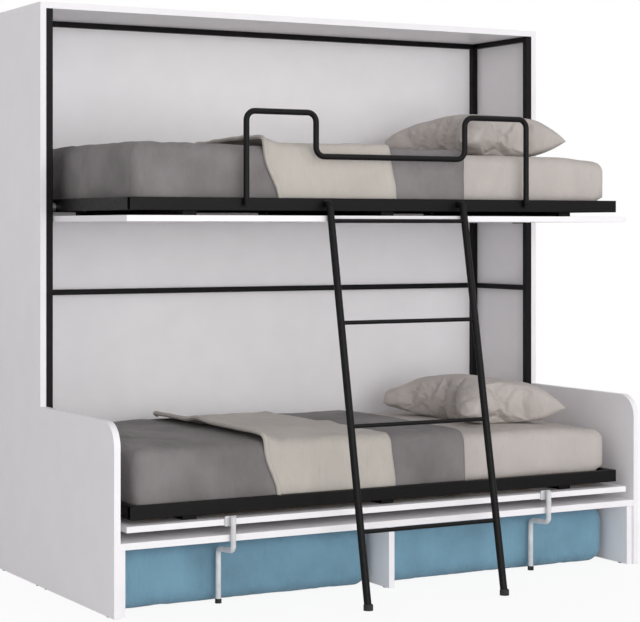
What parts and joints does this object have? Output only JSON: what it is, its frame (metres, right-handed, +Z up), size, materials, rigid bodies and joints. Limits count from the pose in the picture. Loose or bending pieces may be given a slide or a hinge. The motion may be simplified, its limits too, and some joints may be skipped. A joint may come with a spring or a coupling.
{
  "type": "sofa to bunk bed",
  "caption": "Horizontal wall cabinet with two fold-down beds over a sofa base, with a guard rail, a leaning ladder and cushions kept under the seat shelf.",
  "frame": {"origin": "centre of the footprint on the floor, from the wall plane to the ladder feet", "axes": "+X along the beds to the pillow end, -Y into the room, +Y towards the wall, +Z up"},
  "size_m": [2.1, 1.335, 2.032],
  "materials": {
    "white_board": "satin white melamine",
    "black_steel": "satin powder coat",
    "grey_steel": "light grey powder coat",
    "bare_steel": "zinc plated",
    "slat_wood": "lacquered beech",
    "taupe_cotton": "plain weave",
    "grey_cotton": "plain weave",
    "beige_cotton": "plain weave",
    "blue_fabric": "short pile weave",
    "black_rubber": "matte",
    "nylon": "moulded"
  },
  "bodies": {
    "cabinet": {"left_side_panel": "white_board", "right_side_panel": "white_board", "top_panel": "white_board", "upper_back_panel": "white_board", "lower_back_panel": "white_board", "left_arm_panel": "white_board", "right_arm_panel": "white_board", "seat_shelf": "white_board", "shelf_supports": "white_board", "shelf_divider": "white_board", "left_seat_cushion": "blue_fabric", "right_seat_cushion": "blue_fabric", "front_posts": "black_steel", "rear_posts": "black_steel", "top_rear_rail": "black_steel", "middle_rear_rail": "black_steel", "bottom_rear_rail": "black_steel", "side_rails": "black_steel", "frame_bolts": "black_steel", "floor_glides": "nylon", "pivot_plates": "black_steel", "pivot_bushes": "nylon", "pivot_springs": "bare_steel"},
    "upper_bed": {"upper_face_panel": "white_board", "upper_cross_bars": "black_steel", "upper_front_rail": "black_steel", "upper_rear_rail": "black_steel", "upper_end_rails": "black_steel", "upper_pivot_pins": "bare_steel", "upper_slats": "slat_wood", "upper_panel_screws": "bare_steel", "upper_mattress": "taupe_cotton", "upper_duvet": "grey_cotton", "upper_blanket": "beige_cotton", "upper_pillow": "taupe_cotton"},
    "lower_bed": {"lower_face_panel": "white_board", "lower_cross_bars": "black_steel", "lower_front_rail": "black_steel", "lower_rear_rail": "black_steel", "lower_end_rails": "black_steel", "lower_pivot_pins": "bare_steel", "lower_slats": "slat_wood", "lower_panel_screws": "bare_steel", "lower_mattress": "taupe_cotton", "lower_duvet": "grey_cotton", "lower_blanket": "beige_cotton", "lower_pillow": "taupe_cotton"},
    "guard": {"guard_rail": "black_steel", "guard_bolts": "black_steel"},
    "ladder": {"ladder_stiles": "black_steel", "ladder_rungs": "black_steel", "ladder_feet": "black_rubber", "ladder_tips": "black_rubber"},
    "leg_left": {"left_leg": "grey_steel", "left_leg_bracket": "grey_steel", "left_leg_cap": "black_rubber"},
    "leg_right": {"right_leg": "grey_steel", "right_leg_bracket": "grey_steel", "right_leg_cap": "black_rubber"}
  },
  "joints": [
    {"name": "upper_bed_fold", "type": "hinge", "parent": "cabinet", "child": "upper_bed", "pos_m": [0, 0.299, 1.3195], "axis": [-1, 0, 0], "range_deg": [0, 90]},
    {"name": "lower_bed_fold", "type": "hinge", "parent": "cabinet", "child": "lower_bed", "pos_m": [0, 0.299, 0.323], "axis": [-1, 0, 0], "range_deg": [0, 90]},
    {"name": "guard_take_off", "type": "slide", "parent": "cabinet", "child": "guard", "axis": [0, -1, 0], "range_m": [0, 1.26]},
    {"name": "ladder_take_off", "type": "slide", "parent": "cabinet", "child": "ladder", "axis": [0, -1, 0], "range_m": [0, 1.26]},
    {"name": "left_leg_pull", "type": "slide", "parent": "cabinet", "child": "leg_left", "axis": [0, -1, 0], "range_m": [0, 0.15]},
    {"name": "right_leg_pull", "type": "slide", "parent": "cabinet", "child": "leg_right", "axis": [0, -1, 0], "range_m": [0, 0.15]}
  ],
  "couplings": [
    {"joint": "guard_take_off", "follows": "upper_bed_fold", "m_per_rad": 0.8},
    {"joint": "ladder_take_off", "follows": "upper_bed_fold", "m_per_rad": 0.8}
  ]
}
